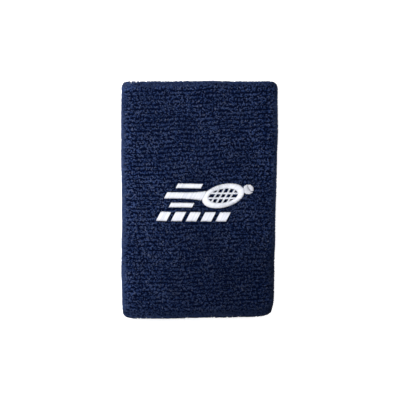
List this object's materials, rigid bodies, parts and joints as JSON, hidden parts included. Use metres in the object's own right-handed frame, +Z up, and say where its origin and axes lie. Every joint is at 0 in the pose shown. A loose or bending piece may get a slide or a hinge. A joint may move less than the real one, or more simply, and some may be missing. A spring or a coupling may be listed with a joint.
{
  "type": "sweat wristband",
  "caption": "Double-wide terry sweatband for racket sports: a knitted elastic tube folded into two plies, closed by one inner seam, with a raised embroidered motif.",
  "frame": {"origin": "centre of the footprint, on the surface the back wall lies on", "axes": "+X across the flat width, +Y along the forearm, +Z up out of the embroidered front wall"},
  "size_m": [0.082, 0.127, 0.0171],
  "materials": {
    "terry_pile": "navy cotton loop pile",
    "ground_knit": "flat navy knit",
    "elastic_yarn": "covered elastic yarn",
    "seam_thread": "spun navy thread",
    "embroidery_thread": "white satin-stitch thread with a soft sheen",
    "bobbin_thread": "matt white thread",
    "backing": "matt non-woven"
  },
  "bodies": {
    "back_wall": {"pile_back": "terry_pile", "pile_left_fold": "terry_pile", "pile_right_fold": "terry_pile", "ground_knit_back": "ground_knit", "ground_knit_left_fold": "ground_knit", "ground_knit_right_fold": "ground_knit", "elastic_yarns_back": "elastic_yarn", "elastic_yarns_left_fold": "elastic_yarn", "elastic_yarns_right_fold": "elastic_yarn", "seam_looper_thread_back": "seam_thread", "seam_looper_thread_left_fold": "seam_thread", "seam_looper_thread_right_fold": "seam_thread", "seam_needle_thread_back": "seam_thread", "seam_needle_thread_left_fold": "seam_thread", "seam_needle_thread_right_fold": "seam_thread"},
    "front_wall": {"pile_front": "terry_pile", "ground_knit_front": "ground_knit", "elastic_yarns_front": "elastic_yarn", "seam_looper_thread_front": "seam_thread", "seam_needle_thread_front": "seam_thread", "motif_racket_head": "embroidery_thread", "motif_racket_strings": "embroidery_thread", "motif_racket_handle": "embroidery_thread", "motif_speed_lines": "embroidery_thread", "motif_ball": "embroidery_thread", "motif_dash_row": "embroidery_thread", "bobbin_stitches": "bobbin_thread", "embroidery_backing": "backing"}
  },
  "joints": [
    {"name": "sleeve_open", "type": "slide", "parent": "back_wall", "child": "front_wall", "axis": [0, 0, 1], "range_m": [0, 0.026], "stiffness_N_per_m": 250, "deforming": ["pile_left_fold", "pile_right_fold", "ground_knit_left_fold", "ground_knit_right_fold", "elastic_yarns_left_fold", "elastic_yarns_right_fold", "seam_looper_thread_left_fold", "seam_looper_thread_right_fold", "seam_needle_thread_left_fold", "seam_needle_thread_right_fold"]}
  ]
}
